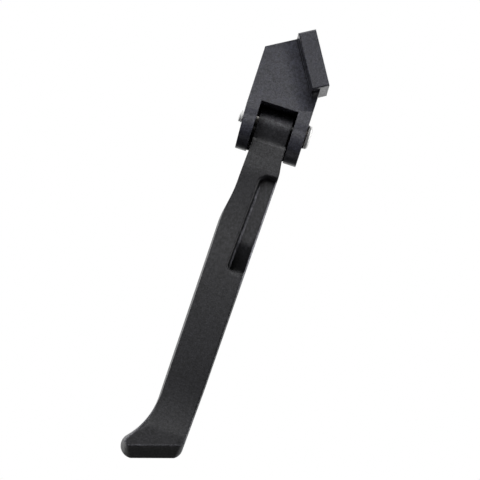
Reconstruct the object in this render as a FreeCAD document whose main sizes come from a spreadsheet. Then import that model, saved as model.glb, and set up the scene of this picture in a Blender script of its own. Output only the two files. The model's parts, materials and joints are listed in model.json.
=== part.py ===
"""Electric scooter kickstand: a clevis bracket, a folding leg and the parts of its pivot, in millimetres.

The stand is drawn as it is parked: +Z up, +X towards the scooter, +Y the way the sole leans.
The origin is the middle of the flange face that bolts to the scooter.
Each piece is drawn in the hinge frame, which has its origin in the middle of the pivot:
x runs along the pivot towards the bolt head, z up the stand, and y is the same as in the part.
"""
import FreeCAD, Part
import os
import Sketcher

Vector = FreeCAD.Vector
TOUCH = 0.001  # millimetres: nearer than this counts as the same place
FULL_TURN = 360
SOCKET_SIDES = 6
WIRE_SIDES = 4

# Driving dimensions, in millimetres and degrees.
SIZES = {
    # how the bracket is turned
    "hinge_tilt": 17.8,
    "flange_lean": 13.3,
    # clevis
    "clevis_width": 26.4,
    "slot_width": 15.6,
    "ear_radius": 12.85,
    "ear_taper_top": 3.0,
    "ear_taper": 3.0,
    "roof_gap": 0.25,
    "stop_gap": 0.2,
    # body plate above the ears
    "plate_top": 30.6,
    "plate_back": 3.0,
    # bolting flange
    "mount_reach": 23.93,
    "flange_top": 31.75,
    "flange_length": 23.6,
    "flange_thickness": 7.2,
    "flange_depth": 21.8,
    "flange_proud": 6.05,
    "flange_blend_share": 1.77,
    "flange_root_share": 0.4,
    "flange_edge_radius": 0.5,
    "mount_hole_radius": 2.5,
    "mount_hole_depth": 11.0,
    "mount_hole_pitch": 13.0,
    # knuckle and neck of the leg
    "knuckle_radius": 6.0,
    "shoulder_drop": 7.3,
    "neck_left": 6.7,
    "neck_right": 7.35,
    "neck_length": 13.4,
    # leg from the front, on its inner side: distance from its middle line, and how far down
    "right_neck": 8.1,
    "right_shin": 6.15,
    "shin_drop": 110.0,
    # leg from the front, on its toe side
    "left_neck": 7.15,
    "swell_start": 24.8,
    "left_swell": 9.95,
    "swell_end": 44.0,
    "left_ankle": 10.55,
    "ankle_drop": 118.0,
    "side_draft": 4.5,
    # leg from the side: its front and back faces, measured from the pivot axis
    "shoulder_front": 4.0,
    "neck_front": 5.9,
    "neck_end": 18.7,
    "belly_front": 4.9,
    "belly_drop": 50.2,
    "shin_front": 2.6,
    "lip_front": 2.5,
    "lip_drop": 131.6,
    "neck_bow_radius": 242.0,
    "belly_bow_radius": 417.0,
    "shin_bow_radius": 102.0,
    "foot_back": 8.6,
    "casting_allowance": 1.0,
    # foot
    "sole_drop": 133.95,
    "sole_grind": 0.15,
    "sole_bevel": 18.5,
    "sole_left": 61.3,
    "sole_right": 37.75,
    "sole_right_lean": 20.0,
    "heel_radius": 5.0,
    "heel_front_radius": 2.0,
    "toe_radius": 5.4,
    "toe_front_radius": 0.6,
    "toe_front_inset": 2.3,
    "toe_tip_angle": 28.0,
    "toe_arc_radius": 28.0,
    "toe_front_arc_radius": 48.0,
    # recess in the front inner edge of the leg
    "recess_wall": 1.6,
    "recess_slant": 1.5,
    "recess_top": 21.6,
    "recess_end": 61.4,
    "recess_floor": 1.4,
    "recess_draft": 13.0,
    "recess_top_radius": 3.0,
    "recess_end_radius": 1.5,
    "inner_edge_radius": 0.8,
    # slope that dives from the floor of the recess at its lower end
    "pit_top": 49.6,
    "pit_margin": 0.8,
    "pit_end_margin": 0.3,
    "pit_right": 6.8,
    "pit_depth": 6.0,
    # pivot bolt, bush and washers
    "bolt_radius": 2.5,
    "bolt_bore_gap": 0.06,
    "bolt_end_stand_out": 1.4,
    "bolt_end_chamfer": 0.5,
    "bolt_head_radius": 4.75,
    "bolt_head_height": 1.7,
    "bolt_head_rim": 0.6,
    "bolt_head_crown_radius": 2.9,
    "bolt_socket_flats": 3.0,
    "bolt_socket_depth": 1.6,
    "head_washer_radius": 4.9,
    "head_washer_thickness": 0.5,
    "bush_wall": 1.0,
    "press_gap": 0.01,
    "running_gap": 0.05,
    "thrust_washer_radius": 5.2,
    "thrust_washer_thickness": 1.0,
    # ball detent in the neck
    "detent_drop": 9.5,
    "ball_radius": 2.0,
    "ball_gap": 0.06,
    "ball_travel": 0.5,
    "spring_wire_radius": 0.3,
    "spring_radius": 1.4,
    "spring_turns": 3.0,
    "spring_end_gap": 0.1,
}

doc = FreeCAD.newDocument("kickstand")
dims = doc.addObject("Spreadsheet::Sheet", "dims")
for row, (alias, size) in enumerate(SIZES.items(), start=1):
    dims.set("A%d" % row, alias)
    dims.set("B%d" % row, str(size))
    dims.setAlias("B%d" % row, alias)
doc.recompute()


def in_sheet(formula):
    """Turns the size names in a formula into references to the sheet."""
    words = []
    word = ""
    for letter in formula + " ":
        if letter.isalnum() or letter == "_":
            word += letter
            continue
        words.append("dims." + word if word in SIZES else word)
        words.append(letter)
        word = ""
    return "".join(words).strip()


def measure(formula):
    """The value of a formula with the sizes as they stand."""
    value = dims.evalExpression(in_sheet(formula))
    return float(getattr(value, "Value", value))


def bind(item, prop, formula):
    """Ties a property of an object to a formula of sizes."""
    item.setExpression(prop, in_sheet(formula))


# Formulas that several pieces share.
EAR_FACE = "slot_width / 2"
EAR_OUTSIDE = "clevis_width / 2"
FLANGE_MIDDLE = "(flange_top - flange_length / 2)"
FLANGE_FRONT = "(ear_radius + flange_proud)"
FLANGE_CENTRE = "(flange_depth / 2 - ear_radius - flange_proud)"
SPLAY = "(hinge_tilt + flange_lean)"
FLANGE_INSIDE = "(mount_reach - flange_thickness)"
FLANGE_BOTTOM = "(flange_top - flange_length)"
BLEND_RUN = "((clevis_width / 2 + %s * sin%s) / cos%s - %s)" % (FLANGE_BOTTOM, SPLAY, SPLAY, FLANGE_INSIDE)
BLEND_RADIUS = "flange_blend_share * %s * flange_proud / (%s + flange_proud)" % (BLEND_RUN, BLEND_RUN)
STOP_FACE = "(knuckle_radius + stop_gap)"
ROOF = "(knuckle_radius + roof_gap)"
CLEAR = "(4 * clevis_width)"  # well outside the bracket and the leg's thickness
KNUCKLE_FACE = "(slot_width / 2 - thrust_washer_thickness - running_gap)"
BUSH_RADIUS = "(bolt_radius + running_gap + bush_wall)"
BALL_CENTRE = "(slot_width / 2 - ball_radius - ball_gap)"
HEAD_SEAT = "(clevis_width / 2 + head_washer_thickness)"
PIVOT_PLACE = {
    "x": "%s * sin(flange_lean) - mount_reach * cos(flange_lean)" % FLANGE_MIDDLE,
    "y": "-%s" % FLANGE_CENTRE,
    "z": "-mount_reach * sin(flange_lean) - %s * cos(flange_lean)" % FLANGE_MIDDLE,
}


def place_on_pivot(item):
    """Puts a piece drawn in the hinge frame where the pivot is on the stand."""
    item.Placement = FreeCAD.Placement(Vector(), FreeCAD.Rotation(Vector(0, 1, 0), 1))
    for axis, formula in PIVOT_PLACE.items():
        bind(item, "Placement.Base." + axis, formula)
    bind(item, "Placement.Rotation.Angle", "hinge_tilt")


def new_body(name):
    """A body in the hinge frame."""
    body = doc.addObject("PartDesign::Body", name)
    body.Label = name
    place_on_pivot(body)
    return body


def origin_item(body, role):
    """One of a body's own origin planes or axes."""
    return next(item for item in body.Origin.OriginFeatures if item.Role == role)


def new_sketch(body, name, plane, offset=None, turn=None):
    """A sketch on an origin plane, moved by offset formulas and turned about one of its own axes."""
    sketch = body.newObject("Sketcher::SketchObject", name)
    sketch.AttachmentSupport = [(origin_item(body, plane), "")]
    sketch.MapMode = "FlatFace"
    axis, angle = turn or ((0, 0, 1), "0")
    sketch.AttachmentOffset = FreeCAD.Placement(Vector(), FreeCAD.Rotation(Vector(*axis), 1))
    bind(sketch, "AttachmentOffset.Rotation.Angle", angle)
    for direction, formula in (offset or {}).items():
        bind(sketch, "AttachmentOffset.Base." + direction, formula)
    return sketch


def constrain(sketch, name, kind, *where, formula):
    """Adds one named dimension to a sketch and ties it to a formula."""
    index = sketch.addConstraint(Sketcher.Constraint(kind, *where, measure(formula)))
    sketch.renameConstraint(index, name)
    bind(sketch, "Constraints." + name, formula)


def arc_middle(start, end, radius):
    """The middle of an arc between two points: a positive radius bulges to the left of the way."""
    chord = end - start
    height = abs(radius) - (radius * radius - chord.Length ** 2 / 4) ** 0.5
    side = Vector(-chord.y, chord.x, 0).normalize() * (height if radius > 0 else -height)
    return (start + end) / 2 + side


def draw_outline(sketch, corners):
    """A closed outline: each corner is (x, y) or (x, y, radius of the arc to the next corner)."""
    points = [Vector(measure(corner[0]), measure(corner[1]), 0) for corner in corners]
    starts = []
    ends = []
    for index, corner in enumerate(corners):
        start = points[index]
        end = points[(index + 1) % len(points)]
        if len(corner) == 2:
            edge = sketch.addGeometry(Part.LineSegment(start, end), False)
        else:
            middle = arc_middle(start, end, measure(corner[2]))
            edge = sketch.addGeometry(Part.Arc(start, middle, end), False)
        forward = sketch.getPoint(edge, 1).distanceToPoint(start) < TOUCH
        starts.append((edge, 1 if forward else 2))
        ends.append((edge, 2 if forward else 1))
    for index, corner in enumerate(corners):
        following = starts[(index + 1) % len(starts)]
        sketch.addConstraint(Sketcher.Constraint("Coincident", *ends[index], *following))
        constrain(sketch, "x%d" % index, "DistanceX", -1, 1, *starts[index], formula=corner[0])
        constrain(sketch, "y%d" % index, "DistanceY", -1, 1, *starts[index], formula=corner[1])
        if len(corner) == 3:
            constrain(sketch, "r%d" % index, "Radius", starts[index][0], formula="abs(%s)" % corner[2])


def draw_circle(sketch, name, radius, x="0", y="0"):
    """A circle with its centre and radius tied to formulas."""
    centre = Vector(measure(x), measure(y), 0)
    circle = sketch.addGeometry(Part.Circle(centre, Vector(0, 0, 1), measure(radius)), False)
    constrain(sketch, name + "_x", "DistanceX", -1, 1, circle, 3, formula=x)
    constrain(sketch, name + "_y", "DistanceY", -1, 1, circle, 3, formula=y)
    constrain(sketch, name + "_r", "Radius", circle, formula=radius)


def pad(body, sketch, length, side="One side", reverse=False):
    """Thickens a sketch into the body."""
    feature = body.newObject("PartDesign::Pad", sketch.Name + "_pad")
    feature.Profile = sketch
    feature.SideType = side
    feature.Reversed = reverse
    bind(feature, "Length", length)
    doc.recompute()
    return feature


def pocket(body, sketch, length=None, side="One side", reverse=False, draft="0"):
    """Cuts a sketch out of the body, right through where no length is given, with drafted walls."""
    before = body.Shape.Volume
    feature = body.newObject("PartDesign::Pocket", sketch.Name + "_cut")
    feature.Profile = sketch
    feature.SideType = side
    feature.Reversed = reverse
    if length is None:
        feature.Type = "ThroughAll"
    else:
        bind(feature, "Length", length)
        bind(feature, "TaperAngle", draft)
    doc.recompute()
    if not feature.Shape.Volume < before:
        raise RuntimeError(feature.Name + " cuts nothing")
    return feature


def edges_where(feature, test):
    """The names of the edges whose middle passes a test, counted in the body's own frame."""
    names = []
    for number, edge in enumerate(feature.Shape.Edges, start=1):
        middle = edge.valueAt((edge.FirstParameter + edge.LastParameter) / 2)
        if test(edge, middle):
            names.append("Edge%d" % number)
    return names


def lies_at(value, formula):
    """Whether a coordinate is where a formula puts it."""
    return abs(value - measure(formula)) < TOUCH


def fillet(body, base, name, radius, test):
    """Rounds the edges of a feature that pass a test."""
    names = edges_where(base, test)
    if not names:
        raise RuntimeError(name + " finds no edge")
    feature = body.newObject("PartDesign::Fillet", name)
    feature.Base = (base, names)
    bind(feature, "Radius", radius)
    doc.recompute()
    return feature


def round_flange(body, cast):
    """Blends the flange into the plate and rounds its front edges."""
    upright = FreeCAD.Rotation(Vector(0, 1, 0), measure(SPLAY))

    def under_flange(edge, middle):
        """Whether an edge is where the underside of the flange meets the plate's front."""
        at_bottom = lies_at(upright.multVec(middle).z, FLANGE_BOTTOM)
        return at_bottom and lies_at(middle.y, "-ear_radius")

    def beside_flange(edge, middle):
        """Whether an edge is where the inner face of the flange meets the plate's front."""
        at_inside = lies_at(upright.multVec(middle).x, FLANGE_INSIDE)
        return at_inside and lies_at(middle.y, "-ear_radius")

    def on_front(edge, middle):
        """Whether an edge bounds the front of the flange, but not its mounting face."""
        at_mount = lies_at(upright.multVec(middle).x, "mount_reach")
        return lies_at(middle.y, "-" + FLANGE_FRONT) and not at_mount

    blend = fillet(body, cast, "flange_blend", BLEND_RADIUS, under_flange)
    root = fillet(body, blend, "flange_root", "flange_root_share * " + BLEND_RADIUS, beside_flange)
    fillet(body, root, "flange_edge", "flange_edge_radius", on_front)


def make_bracket():
    """The cast bracket: a lug with a slot for the leg, a body plate and the bolting flange."""
    body = new_body("mounting_bracket")
    lug = new_sketch(body, "lug_side", "YZ_Plane")
    draw_outline(lug, [
        ("-ear_radius", "0", "-ear_radius"),
        ("0", "-ear_radius", "-ear_radius"),
        ("ear_radius", "0"),
        ("plate_back", "plate_top"),
        ("plate_back", "flange_top + clevis_width"),
        ("-ear_radius", "flange_top + clevis_width"),
    ])
    pad(body, lug, "clevis_width", side="Symmetric")
    top = new_sketch(body, "plate_top_trim", "XZ_Plane", turn=((0, 0, 1), SPLAY))
    draw_outline(top, [
        ("-" + CLEAR, "plate_top"),
        ("mount_reach", "plate_top"),
        ("mount_reach", "-" + CLEAR),
        (CLEAR, "-" + CLEAR),
        (CLEAR, CLEAR),
        ("-" + CLEAR, CLEAR),
    ])
    pocket(body, top, side="Symmetric")
    splayed = ((0, 0, 1), SPLAY)
    flange = new_sketch(body, "flange_outline", "XZ_Plane", offset={"z": FLANGE_FRONT}, turn=splayed)
    draw_outline(flange, [
        (FLANGE_INSIDE, FLANGE_BOTTOM),
        ("mount_reach", FLANGE_BOTTOM),
        ("mount_reach", "flange_top"),
        (FLANGE_INSIDE, "flange_top"),
    ])
    pad(body, flange, "flange_depth", reverse=True)
    slot = new_sketch(body, "leg_slot", "XZ_Plane", offset={"z": "-" + STOP_FACE})
    draw_outline(slot, [
        ("-slot_width / 2", "-2 * ear_radius"),
        ("slot_width / 2", "-2 * ear_radius"),
        ("slot_width / 2", ROOF),
        ("-slot_width / 2", ROOF),
    ])
    pocket(body, slot, reverse=True)
    taper = new_sketch(body, "ear_taper_front", "XZ_Plane")
    draw_outline(taper, [
        ("-clevis_width / 2", "ear_taper_top"),
        ("(ear_taper_top + 2 * ear_radius) * tan(ear_taper) - clevis_width / 2", "-2 * ear_radius"),
        ("-clevis_width", "-2 * ear_radius"),
        ("-clevis_width", "ear_taper_top"),
    ])
    pocket(body, taper, side="Symmetric")
    bore = new_sketch(body, "pivot_bore", "YZ_Plane")
    draw_circle(bore, "bore", "bolt_radius + bolt_bore_gap")
    pocket(body, bore, side="Symmetric")
    for name, depth, height in (("down", "0", "-detent_drop"), ("up", "-detent_drop", "0")):
        dimple = new_sketch(body, "dimple_" + name, "YZ_Plane")
        draw_circle(dimple, "dimple", "ball_radius", depth, height)
        pocket(body, dimple, "slot_width + 2 * ball_travel + 2 * ball_gap", side="Symmetric")
    holes = new_sketch(
        body, "mount_holes", "YZ_Plane",
        offset={"y": "mount_reach * sin%s" % SPLAY, "z": "mount_reach * cos%s" % SPLAY},
        turn=((1, 0, 0), "-" + SPLAY),
    )
    for name, sign in (("lower", "-"), ("upper", "+")):
        height = "%s %s mount_hole_pitch / 2" % (FLANGE_MIDDLE, sign)
        draw_circle(holes, name, "mount_hole_radius", FLANGE_CENTRE, height)
    cast = pocket(body, holes, "mount_hole_depth")
    round_flange(body, cast)
    return body


def leg_outline(sketch, rise, side, left, tip, heel, arc):
    """A front outline of the leg, with its sole raised by rise and its toe side drawn in by side."""
    low = "(%s - sole_drop - sole_grind)" % rise
    tip_x = "(%s - sole_left + %s)" % (left, tip)
    heel_x = "(%s * tan(sole_right_lean) - sole_right)" % rise
    heel_run = "(%s * tan(45 - sole_right_lean / 2))" % heel

    def level(x, z):
        """A point given across and up the parked stand, turned into the hinge frame."""
        return (
            "(%s) * cos(hinge_tilt) - (%s) * sin(hinge_tilt)" % (x, z),
            "(%s) * sin(hinge_tilt) + (%s) * cos(hinge_tilt)" % (x, z),
        )

    toe_top = level(
        "%s - %s * sin(toe_tip_angle)" % (tip_x, tip),
        "%s + %s * (1 + cos(toe_tip_angle))" % (low, tip),
    )
    heel_top = level(
        "%s + %s * sin(sole_right_lean)" % (heel_x, heel_run),
        "%s + %s * cos(sole_right_lean)" % (low, heel_run),
    )
    rise_half = "((left_swell - left_neck - %s) / 2)" % side
    run_half = "((swell_end - swell_start) / 2)"
    swell = "((%s ^ 2 + %s ^ 2) / (2 * %s))" % (rise_half, run_half, rise_half)
    draw_outline(sketch, [
        ("-neck_left", "-shoulder_drop"),
        ("-neck_left", "-neck_length"),
        ("-left_neck", "-swell_start", swell),
        ("-left_neck - %s" % rise_half, "-swell_start - %s" % run_half, "-" + swell),
        ("%s - left_swell" % side, "-swell_end"),
        ("%s - left_ankle" % side, "-ankle_drop", arc),
        toe_top + ("-" + tip,),
        level(tip_x, low),
        level("%s - %s" % (heel_x, heel_run), low) + ("-" + heel,),
        heel_top,
        ("right_shin", "-shin_drop"),
        ("right_neck", "-neck_end"),
        ("neck_right", "-neck_length"),
        ("neck_right", "-shoulder_drop"),
    ])


def cut_recess(body):
    """Cuts the drafted recess into the inner front of the leg."""
    end_wall = "(recess_wall - recess_slant)"
    floor = new_sketch(body, "recess_outline", "XZ_Plane", offset={"z": "recess_floor"})
    draw_outline(floor, [
        ("clevis_width", "-recess_top"),
        ("recess_wall + recess_top_radius", "-recess_top", "-recess_top_radius"),
        ("recess_wall", "-recess_top - recess_top_radius"),
        (end_wall, "recess_end_radius - recess_end", "-recess_end_radius"),
        (end_wall + " + recess_end_radius", "-recess_end"),
        ("clevis_width", "-recess_end"),
    ])
    return pocket(body, floor, "neck_front", reverse=True, draft="recess_draft")


def round_recess(body, hollowed):
    """Rounds the open side of the recess and the leg's edge below it."""
    def on_open_side(edge, middle):
        """Whether an edge is the long one where the floor meets the leg's inner side."""
        across = lies_at(middle.z, "-recess_top") or lies_at(middle.z, "-recess_end")
        by_side = middle.x > measure("pit_right") + TOUCH
        return by_side and not across and lies_at(middle.y, "-recess_floor")

    def below_recess(edge, middle):
        """Whether an edge runs down the inner front of the leg from the recess to the foot."""
        inner = middle.x > measure("recess_wall + recess_top_radius")
        in_front = middle.y < measure("-lip_front / 2")
        below = measure("-lip_drop") < middle.z < measure("-recess_end - recess_end_radius")
        return inner and in_front and below

    side = fillet(body, hollowed, "recess_open_side", "inner_edge_radius", on_open_side)
    fillet(body, side, "inner_edge", "inner_edge_radius", below_recess)


def cut_pit(body):
    """Lets the floor of the recess dive to its lower end, between its wall and the leg's inner side."""
    pit = new_sketch(body, "pit_side", "YZ_Plane", offset={"z": "pit_right"})
    pit_end = "(pit_end_margin - recess_end)"
    draw_outline(pit, [
        ("-recess_floor", "-pit_top"),
        ("-neck_front", "-pit_top"),
        ("-neck_front", pit_end),
        ("pit_depth - recess_floor", pit_end),
    ])
    pocket(body, pit, "pit_right + recess_slant - recess_wall - pit_margin")


def make_leg():
    """The cast leg: a drafted blade with a toe, bowed as seen from the side, under a knuckle."""
    body = new_body("leg")
    depth = "(neck_front + foot_back + 2 * casting_allowance)"
    front = new_sketch(body, "front_outline", "XZ_Plane", offset={"z": "neck_front + casting_allowance"})
    leg_outline(
        front, depth + " * tan(sole_bevel)", depth + " * tan(side_draft)", "toe_front_inset",
        "toe_front_radius", "heel_front_radius", "toe_front_arc_radius",
    )
    back = new_sketch(body, "back_outline", "XZ_Plane", offset={"z": "-foot_back - casting_allowance"})
    leg_outline(back, "0", "0", "0", "toe_radius", "heel_radius", "toe_arc_radius")
    blade = body.newObject("PartDesign::AdditiveLoft", "blade")
    blade.Profile = front
    blade.Sections = [back]
    blade.Ruled = True
    doc.recompute()
    below = "-sole_drop - " + CLEAR
    bow = new_sketch(body, "front_bow", "YZ_Plane")
    draw_outline(bow, [
        ("-shoulder_front", "0"),
        ("-shoulder_front", "-shoulder_drop"),
        ("-neck_front", "-neck_end", "neck_bow_radius"),
        ("-belly_front", "-belly_drop", "-belly_bow_radius"),
        ("-shin_front", "-shin_drop", "shin_bow_radius"),
        ("-lip_front", "-lip_drop"),
        ("-lip_front", below),
        ("-" + CLEAR, below),
        ("-" + CLEAR, "0"),
    ])
    pocket(body, bow, side="Symmetric")
    hollow = new_sketch(body, "back_bow", "YZ_Plane")
    draw_outline(hollow, [
        ("knuckle_radius", "0"),
        ("knuckle_radius", "-belly_drop"),
        ("foot_back", "-shin_drop"),
        ("foot_back", below),
        (CLEAR, below),
        (CLEAR, "0"),
    ])
    pocket(body, hollow, side="Symmetric")
    ground = new_sketch(body, "ground_side", "YZ_Plane", turn=((1, 0, 0), "-hinge_tilt"))
    sole_at = "(foot_back + casting_allowance %s %s) * tan(sole_bevel) - sole_drop"
    draw_outline(ground, [
        ("-" + CLEAR, sole_at % ("+", CLEAR)),
        ("-" + CLEAR, below),
        (CLEAR, below),
        (CLEAR, sole_at % ("-", CLEAR)),
    ])
    pocket(body, ground, side="Symmetric")
    knuckle = new_sketch(body, "knuckle_side", "YZ_Plane")
    span = "(shoulder_front ^ 2 + shoulder_drop ^ 2)"
    flank = "sqrt(%s - knuckle_radius ^ 2)" % span
    draw_outline(knuckle, [
        ("-knuckle_radius", "0", "knuckle_radius"),
        ("0", "knuckle_radius", "knuckle_radius"),
        ("knuckle_radius", "0"),
        ("knuckle_radius", "-detent_drop"),
        ("-shoulder_front", "-detent_drop"),
        ("-shoulder_front", "-shoulder_drop"),
        (
            "-knuckle_radius * (knuckle_radius * shoulder_front + %s * shoulder_drop) / %s" % (flank, span),
            "knuckle_radius * (%s * shoulder_front - knuckle_radius * shoulder_drop) / %s" % (flank, span),
            "knuckle_radius",
        ),
    ])
    pad(body, knuckle, "2 * " + KNUCKLE_FACE, side="Symmetric")
    bore = new_sketch(body, "bush_bore", "YZ_Plane")
    draw_circle(bore, "bore", BUSH_RADIUS + " + press_gap")
    pocket(body, bore, side="Symmetric")
    ball_bore = new_sketch(body, "ball_bore", "YZ_Plane")
    draw_circle(ball_bore, "bore", "ball_radius + ball_gap", "0", "-detent_drop")
    pocket(body, ball_bore, side="Symmetric")
    round_recess(body, cut_recess(body))
    cut_pit(body)
    return body


def make_bolt():
    """The button-head bolt that is the pivot: its head lies on the right ear."""
    body = new_body("pivot_bolt")
    tip = "(-clevis_width / 2 - bolt_end_stand_out)"
    section = new_sketch(body, "bolt_section", "XZ_Plane")
    draw_outline(section, [
        (tip, "0"),
        (HEAD_SEAT + " + bolt_head_height", "0"),
        (HEAD_SEAT + " + bolt_head_height", "bolt_head_crown_radius", "-bolt_head_radius"),
        (HEAD_SEAT + " + bolt_head_rim", "bolt_head_radius"),
        (HEAD_SEAT, "bolt_head_radius"),
        (HEAD_SEAT, "bolt_radius"),
        (tip + " + bolt_end_chamfer", "bolt_radius"),
        (tip, "bolt_radius - bolt_end_chamfer"),
    ])
    turned = body.newObject("PartDesign::Revolution", "bolt_turned")
    turned.Profile = section
    turned.ReferenceAxis = (origin_item(body, "X_Axis"), [""])
    turned.Angle = FULL_TURN
    doc.recompute()
    socket = new_sketch(body, "socket", "YZ_Plane", offset={"z": HEAD_SEAT + " + bolt_head_height"})
    corner = "(bolt_socket_flats / sqrt(3))"
    turns = range(0, FULL_TURN, FULL_TURN // SOCKET_SIDES)
    draw_outline(socket, [
        ("%s * cos(%d)" % (corner, turn), "%s * sin(%d)" % (corner, turn)) for turn in turns
    ])
    pocket(body, socket, "bolt_socket_depth")
    return body


def make_ring(name, inner, outer, start, length):
    """A plain ring round the pivot, such as a washer or a bush."""
    body = new_body(name)
    section = new_sketch(body, name + "_section", "YZ_Plane", offset={"z": start})
    draw_circle(section, "outer", outer)
    draw_circle(section, "inner", inner)
    pad(body, section, length)
    return body


def make_ball(name, side):
    """One of the two balls that snap into the ears."""
    ball = doc.addObject("Part::Sphere", name)
    ball.Label = name
    bind(ball, "Radius", "ball_radius")
    place_at_detent(ball, "%s%s" % (side, BALL_CENTRE))
    return ball


def place_at_detent(item, along):
    """Puts a piece in the neck's cross bore, at a distance along the pivot from the middle."""
    item.Placement = FreeCAD.Placement(Vector(), FreeCAD.Rotation(Vector(0, 1, 0), 1))
    bind(item, "Placement.Base.x", "%s + (%s) * cos(hinge_tilt) - detent_drop * sin(hinge_tilt)"
         % (PIVOT_PLACE["x"], along))
    bind(item, "Placement.Base.y", PIVOT_PLACE["y"])
    bind(item, "Placement.Base.z", "%s - (%s) * sin(hinge_tilt) - detent_drop * cos(hinge_tilt)"
         % (PIVOT_PLACE["z"], along))
    bind(item, "Placement.Rotation.Angle", "hinge_tilt")


def make_spring():
    """The coil spring between the two balls, along the neck's cross bore."""
    seat = "sqrt(ball_radius ^ 2 - spring_radius ^ 2)"
    reach = "(%s - %s - spring_wire_radius - spring_end_gap)" % (BALL_CENTRE, seat)
    coil = doc.addObject("Part::Helix", "spring_line")
    bind(coil, "Radius", "spring_radius")
    bind(coil, "Height", "2 * " + reach)
    bind(coil, "Pitch", "2 * %s / spring_turns" % reach)
    wire = doc.addObject("Part::RegularPolygon", "spring_wire")
    wire.Polygon = WIRE_SIDES
    wire.Placement = FreeCAD.Placement(Vector(), FreeCAD.Rotation(Vector(1, 0, 0), 90))
    bind(wire, "Circumradius", "spring_wire_radius")
    bind(wire, "Placement.Base.x", "spring_radius")
    spring = doc.addObject("Part::Sweep", "detent_spring")
    spring.Label = "detent_spring"
    spring.Sections = [wire]
    spring.Spine = (coil, [])
    spring.Solid = True
    spring.Frenet = True
    place_at_detent(spring, "-" + reach)
    bind(spring, "Placement.Rotation.Angle", "hinge_tilt + 90")
    doc.recompute()
    return spring


def check_document():
    """Stops if any object of the document failed to build."""
    doc.recompute()
    for item in doc.Objects:
        if "Invalid" in item.State or "Error" in item.State:
            raise RuntimeError("%s did not build" % item.Name)


def write_pieces(pieces):
    """Checks each piece and writes it as a STEP file under its own name."""
    check_document()
    for piece in pieces:
        if piece.Shape.isNull() or not piece.Shape.isValid() or not piece.Shape.Solids:
            raise RuntimeError("%s has no sound solid" % piece.Label)
    os.makedirs("parts", exist_ok=True)
    for piece in pieces:
        piece.Shape.exportStep("parts/%s.step" % piece.Label)


BOLT_HOLE = "bolt_radius + bolt_bore_gap"
pieces = [
    make_bracket(),
    make_leg(),
    make_bolt(),
    make_ring("head_washer", BOLT_HOLE, "head_washer_radius", EAR_OUTSIDE, "head_washer_thickness"),
    make_ring("thrust_washer_left", BOLT_HOLE, "thrust_washer_radius",
              "-" + EAR_FACE, "thrust_washer_thickness"),
    make_ring("thrust_washer_right", BOLT_HOLE, "thrust_washer_radius",
              EAR_FACE + " - thrust_washer_thickness", "thrust_washer_thickness"),
    make_ring("pivot_bush", "bolt_radius + running_gap", BUSH_RADIUS,
              "-" + KNUCKLE_FACE, "2 * " + KNUCKLE_FACE),
    make_spring(),
    make_ball("detent_ball_left", "-"),
    make_ball("detent_ball_right", ""),
]
write_pieces(pieces)
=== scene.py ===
"""Looks of a folding scooter stand: sand-textured coat, plated pivot bolt with its thread, and studio."""
import json
import math

import bmesh
import bpy
from mathutils import Matrix, Vector


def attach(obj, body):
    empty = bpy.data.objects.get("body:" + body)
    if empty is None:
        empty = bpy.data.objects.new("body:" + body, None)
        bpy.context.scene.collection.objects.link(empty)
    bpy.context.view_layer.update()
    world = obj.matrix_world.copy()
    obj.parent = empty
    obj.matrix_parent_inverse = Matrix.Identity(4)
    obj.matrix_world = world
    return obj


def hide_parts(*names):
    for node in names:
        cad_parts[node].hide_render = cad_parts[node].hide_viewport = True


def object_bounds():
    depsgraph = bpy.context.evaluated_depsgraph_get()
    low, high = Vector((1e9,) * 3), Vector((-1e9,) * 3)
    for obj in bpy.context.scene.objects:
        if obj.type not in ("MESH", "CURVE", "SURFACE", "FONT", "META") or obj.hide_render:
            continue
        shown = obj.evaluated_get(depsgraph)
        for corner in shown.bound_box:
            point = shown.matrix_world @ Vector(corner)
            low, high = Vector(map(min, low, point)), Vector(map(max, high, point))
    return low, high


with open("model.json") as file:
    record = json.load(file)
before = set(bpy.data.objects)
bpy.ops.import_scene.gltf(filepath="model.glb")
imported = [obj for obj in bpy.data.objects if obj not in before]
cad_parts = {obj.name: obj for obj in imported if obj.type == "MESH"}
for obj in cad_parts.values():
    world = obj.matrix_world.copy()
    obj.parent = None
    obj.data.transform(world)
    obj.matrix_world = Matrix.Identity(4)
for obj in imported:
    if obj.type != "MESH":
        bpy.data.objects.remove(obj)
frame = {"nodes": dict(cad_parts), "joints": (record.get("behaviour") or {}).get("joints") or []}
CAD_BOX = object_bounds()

bl_info = {
    "name": "Scooter Stand Looks",
    "version": (1, 0, 0),
    "blender": (4, 5, 0),
    "location": "View3D > Sidebar > Stand",
    "description": "Finishes the castings and the pivot of a folding scooter stand and sets up its studio",
    "category": "Object",
}

MILLIMETRE = 0.001
WHITE = (1.0, 1.0, 1.0, 1.0)


def in_metres(*sizes):
    """Sizes in millimetres, as metres."""
    return tuple(size * MILLIMETRE for size in sizes)


# The hinge frame: x along the pivot towards the bolt head, y away from the viewer, z up the stand.
LEG_HINGE = next(joint for joint in frame["joints"] if joint["name"] == "leg_fold")
PIVOT = Vector(LEG_HINGE["pos_m"])
ALONG = -Vector(LEG_HINGE["axis"]).normalized()
ACROSS = Vector((0.0, 1.0, 0.0))
UPWARD = ALONG.cross(ACROSS)
HINGE_FRAME = Matrix.Translation(PIVOT) @ Matrix((ALONG, ACROSS, UPWARD)).transposed().to_4x4()


def in_hinge(node):
    """The corners of a node in the hinge frame."""
    to_hinge = HINGE_FRAME.inverted()
    return [to_hinge @ vertex.co for vertex in frame["nodes"][node].data.vertices]


def off_axis(point):
    """How far a point in the hinge frame is from the pivot's axis."""
    return math.hypot(point.y, point.z)


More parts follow.
